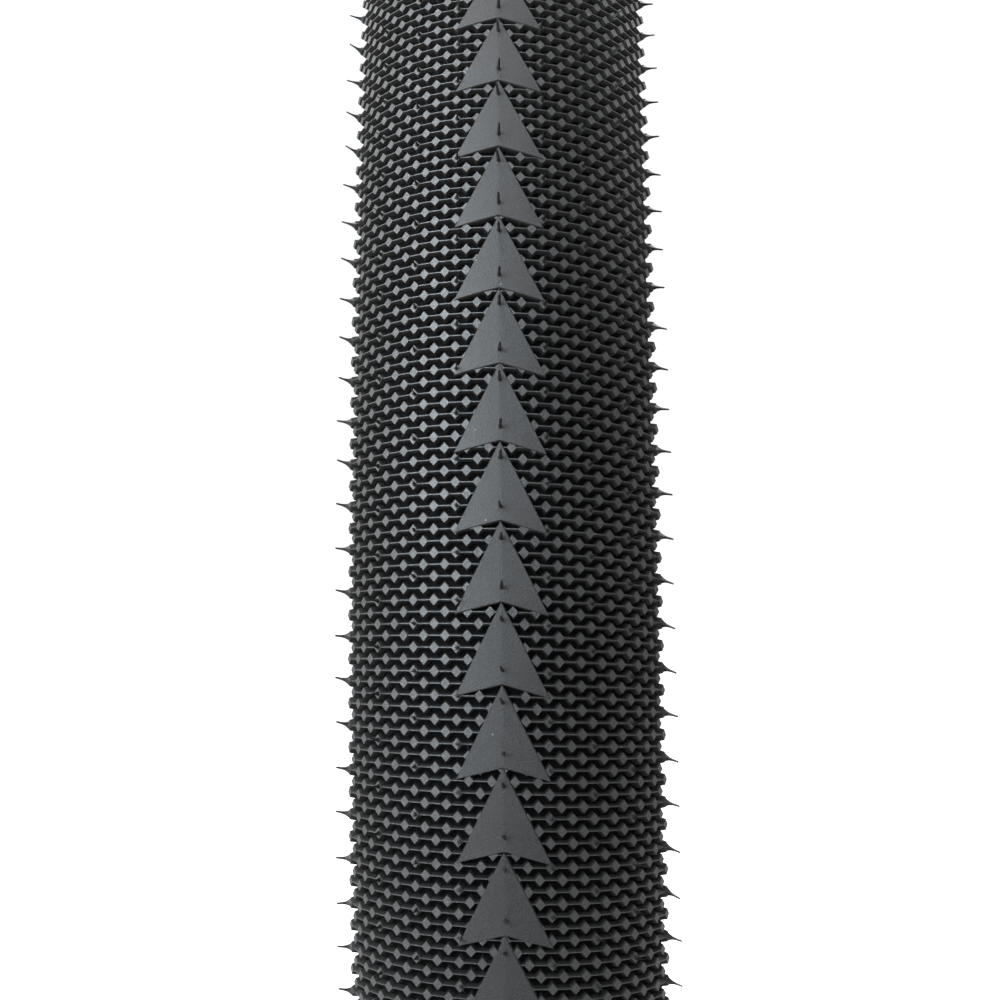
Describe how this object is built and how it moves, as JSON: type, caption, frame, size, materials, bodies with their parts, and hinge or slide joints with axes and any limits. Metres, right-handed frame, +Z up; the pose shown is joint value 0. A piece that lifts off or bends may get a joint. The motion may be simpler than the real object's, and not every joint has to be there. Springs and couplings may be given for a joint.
{
  "type": "bicycle tyre",
  "caption": "Directional gravel bicycle tyre with a fine diamond tread and an arrow-block centre ridge, built up from its rubber, fabric and bead layers.",
  "frame": {"origin": "the wheel's centre, on the axle and in the tyre's centre plane", "axes": "+Y along the axle to the tyre's left side, +Z up, +X forwards; the tyre stands upright and rolls towards +X"},
  "size_m": [0.708, 0.0428, 0.708],
  "materials": {
    "tread_rubber": "matt moulded black rubber",
    "sidewall_rubber": "matt black rubber skin",
    "gum": "dull dark gum rubber",
    "breaker_weave": "woven fibre, dull ochre",
    "ply_fabric": "rubbered cord fabric, dull",
    "liner_rubber": "smooth black butyl",
    "chafer_weave": "woven black nylon, rubbered",
    "bead_fibre": "aramid yarn, dull yellow",
    "filler_rubber": "dull black rubber"
  },
  "bodies": {
    "root": {"tread_band": "tread_rubber", "undertread_gum": "gum", "breaker_belt": "breaker_weave", "casing_ply": "ply_fabric", "inner_liner": "liner_rubber", "sidewall_left": "sidewall_rubber", "sidewall_right": "sidewall_rubber", "chafer_left": "chafer_weave", "chafer_right": "chafer_weave", "bead_core_left": "bead_fibre", "bead_core_right": "bead_fibre", "bead_filler_left": "filler_rubber", "bead_filler_right": "filler_rubber"}
  },
  "joints": []
}
